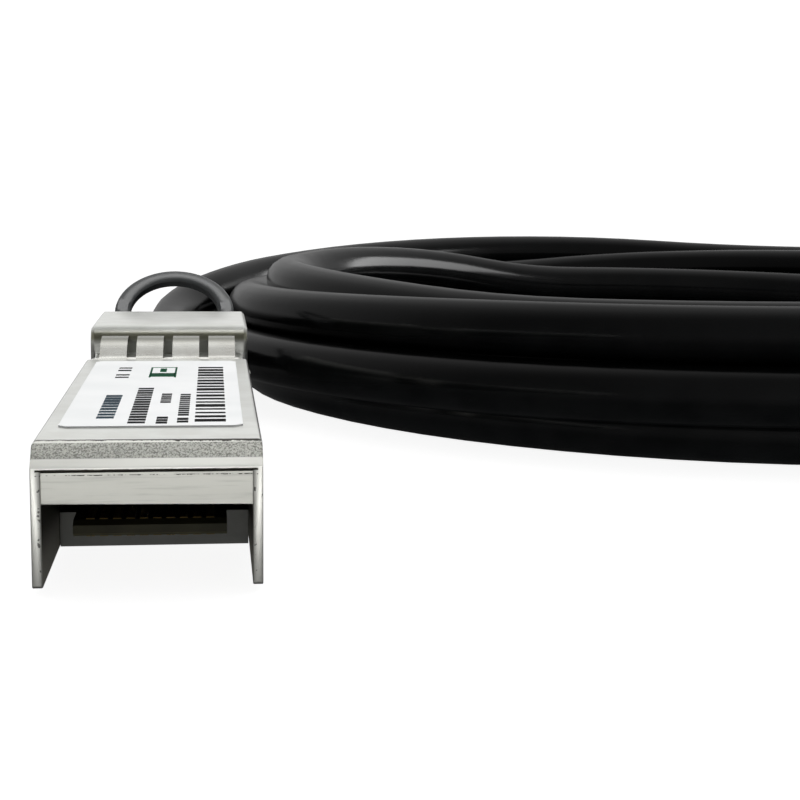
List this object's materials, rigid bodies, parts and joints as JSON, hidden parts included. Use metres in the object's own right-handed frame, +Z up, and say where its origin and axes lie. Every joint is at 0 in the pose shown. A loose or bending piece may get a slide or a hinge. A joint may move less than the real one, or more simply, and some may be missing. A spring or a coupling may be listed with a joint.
{
  "type": "direct attach network cable",
  "caption": "Coiled black copper network cable with a metal pluggable plug on each end, spring collars, sprung latch sliders and black pull tabs.",
  "frame": {"origin": "under the middle of the near plug's mouth, on the surface that the cable lies on", "axes": "+X from the near plug to the far plug, +Y from the mouth to the cable, +Z up"},
  "size_m": [0.1427, 0.1542, 0.0154],
  "materials": {
    "nickel_shell": "satin nickel plate on die-cast zinc",
    "card": "solder mask on glass epoxy",
    "gold": "hard gold plate",
    "chip": "moulded epoxy",
    "core_insulation": "smooth insulation",
    "brass_ferrule": "crimped",
    "jacket": "smooth glossy jacket",
    "sleeve": "satin",
    "spring_sheet": "bright nickel plate",
    "slider_steel": "rolled sheet and drawn wire",
    "tab_plastic": "fine satin",
    "screw_steel": "plain",
    "label_paper": "coated label film"
  },
  "bodies": {
    "root": {"near_top_shell": "nickel_shell", "near_bottom_shell": "nickel_shell", "near_circuit_card": "card", "near_contact_pads": "gold", "near_memory_chip": "chip", "near_conductor_pairs": "core_insulation", "near_crimp_ferrule": "brass_ferrule", "near_cable_end": "jacket", "near_strain_relief": "sleeve", "near_spring_collar": "spring_sheet", "near_return_spring": "slider_steel", "near_stop_pin": "slider_steel", "near_shell_screws": "screw_steel", "near_label": "label_paper", "far_top_shell": "nickel_shell", "far_bottom_shell": "nickel_shell", "far_circuit_card": "card", "far_contact_pads": "gold", "far_memory_chip": "chip", "far_conductor_pairs": "core_insulation", "far_crimp_ferrule": "brass_ferrule", "far_cable_end": "jacket", "far_strain_relief": "sleeve", "far_spring_collar": "spring_sheet", "far_return_spring": "slider_steel", "far_stop_pin": "slider_steel", "far_shell_screws": "screw_steel", "far_label": "label_paper", "near_lead": "jacket", "far_lead": "jacket", "cable_coil": "jacket"},
    "near_slider": {"near_release_slider": "slider_steel", "near_pull_tab": "tab_plastic"},
    "far_slider": {"far_release_slider": "slider_steel", "far_pull_tab": "tab_plastic"}
  },
  "joints": [
    {"name": "near_tab_slide", "type": "slide", "parent": "root", "child": "near_slider", "axis": [0, 1, 0], "range_m": [0, 0.0025], "stiffness_N_per_m": 400, "springref_m": -0.001, "deforming": ["near_return_spring"]},
    {"name": "far_tab_slide", "type": "slide", "parent": "root", "child": "far_slider", "axis": [0, 1, 0], "range_m": [0, 0.0025], "stiffness_N_per_m": 400, "springref_m": -0.001, "deforming": ["far_return_spring"]}
  ]
}
